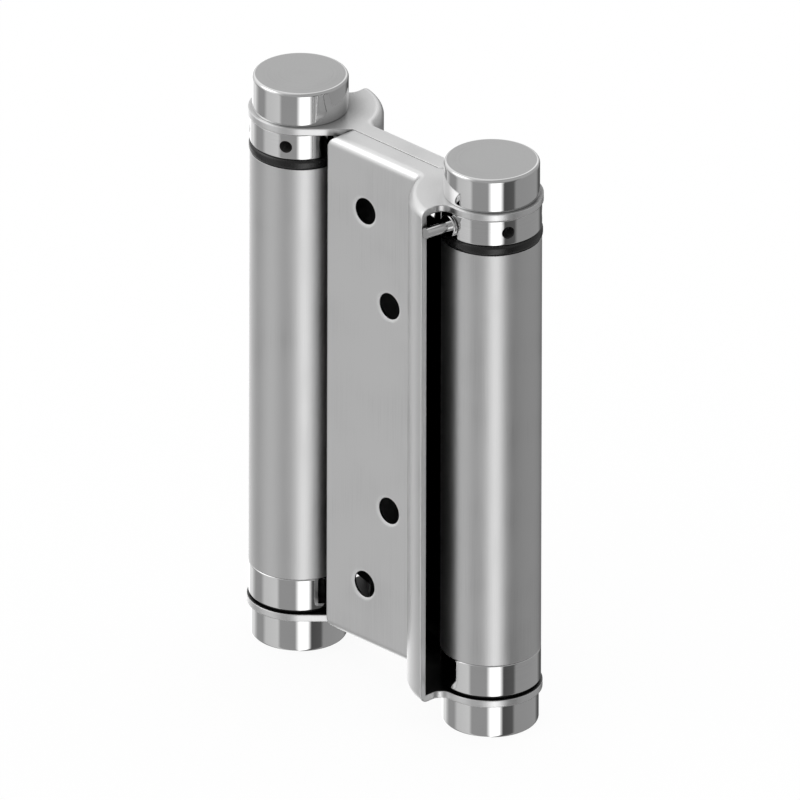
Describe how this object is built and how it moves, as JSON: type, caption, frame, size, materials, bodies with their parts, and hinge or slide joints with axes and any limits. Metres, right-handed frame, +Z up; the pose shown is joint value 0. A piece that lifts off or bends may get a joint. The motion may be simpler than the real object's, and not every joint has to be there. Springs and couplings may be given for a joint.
{
  "type": "double action spring hinge",
  "caption": "Double action spring hinge: pressed leaves back to back, a centre leaf rolled into tubes round torsion springs, with tension collars, pins and turned caps.",
  "frame": {"origin": "on the upright middle axis between the two barrels, level with the foot of the bottom caps", "axes": "+Z up along the barrels, +X from the left barrel to the right one, -Y out of the right leaf's outer face"},
  "size_m": [0.0852, 0.0374, 0.1415],
  "materials": {
    "brushed_steel": "fine upright brushing",
    "satin_steel": "satin",
    "polished_steel": "polished",
    "black_nylon": "matte black",
    "spring_steel": "oiled"
  },
  "bodies": {
    "left_leaf": {"leaf_left": "brushed_steel", "top_cap_left": "polished_steel", "bottom_cap_left": "polished_steel", "spindle_left": "polished_steel"},
    "centre": {"centre_leaf": "satin_steel", "spring_anchor_left": "polished_steel", "spring_anchor_right": "polished_steel", "top_washer_left": "black_nylon", "top_washer_right": "black_nylon", "bottom_washer_left": "black_nylon", "bottom_washer_right": "black_nylon", "torsion_spring_left": "spring_steel", "torsion_spring_right": "spring_steel"},
    "right_leaf": {"leaf_right": "brushed_steel", "top_cap_right": "polished_steel", "bottom_cap_right": "polished_steel", "spindle_right": "polished_steel"},
    "left_collar": {"tension_collar_left": "polished_steel"},
    "right_collar": {"tension_collar_right": "polished_steel"},
    "left_pin": {"tension_pin_left": "polished_steel"},
    "right_pin": {"tension_pin_right": "polished_steel"}
  },
  "joints": [
    {"name": "left_leaf_swing", "type": "hinge", "parent": "left_leaf", "child": "centre", "pos_m": [-0.03075, 0, 0.07075], "axis": [0, 0, -1], "range_deg": [0, 120], "stiffness_Nm_per_rad": 0.6, "springref_deg": -114.59, "deforming": ["torsion_spring_left"]},
    {"name": "right_leaf_swing", "type": "hinge", "parent": "centre", "child": "right_leaf", "pos_m": [0.03075, 0, 0.07075], "axis": [0, 0, 1], "range_deg": [0, 120], "stiffness_Nm_per_rad": 0.6, "springref_deg": -114.59, "deforming": ["torsion_spring_right"]},
    {"name": "left_tension", "type": "hinge", "parent": "left_leaf", "child": "left_collar", "pos_m": [-0.03075, 0, 0.07075], "axis": [0, 0, 1], "range_deg": [0, 72], "stiffness_Nm_per_rad": 0.05, "springref_deg": -57.3},
    {"name": "right_tension", "type": "hinge", "parent": "right_leaf", "child": "right_collar", "pos_m": [0.03075, 0, 0.07075], "axis": [0, 0, 1], "range_deg": [0, 72], "stiffness_Nm_per_rad": 0.05, "springref_deg": -57.3},
    {"name": "left_pin_pull", "type": "slide", "parent": "left_collar", "child": "left_pin", "axis": [0.1395, 0.9902, 0], "range_m": [0, 0.0035]},
    {"name": "right_pin_pull", "type": "slide", "parent": "right_collar", "child": "right_pin", "axis": [-0.1395, -0.9902, 0], "range_m": [0, 0.0035]}
  ]
}
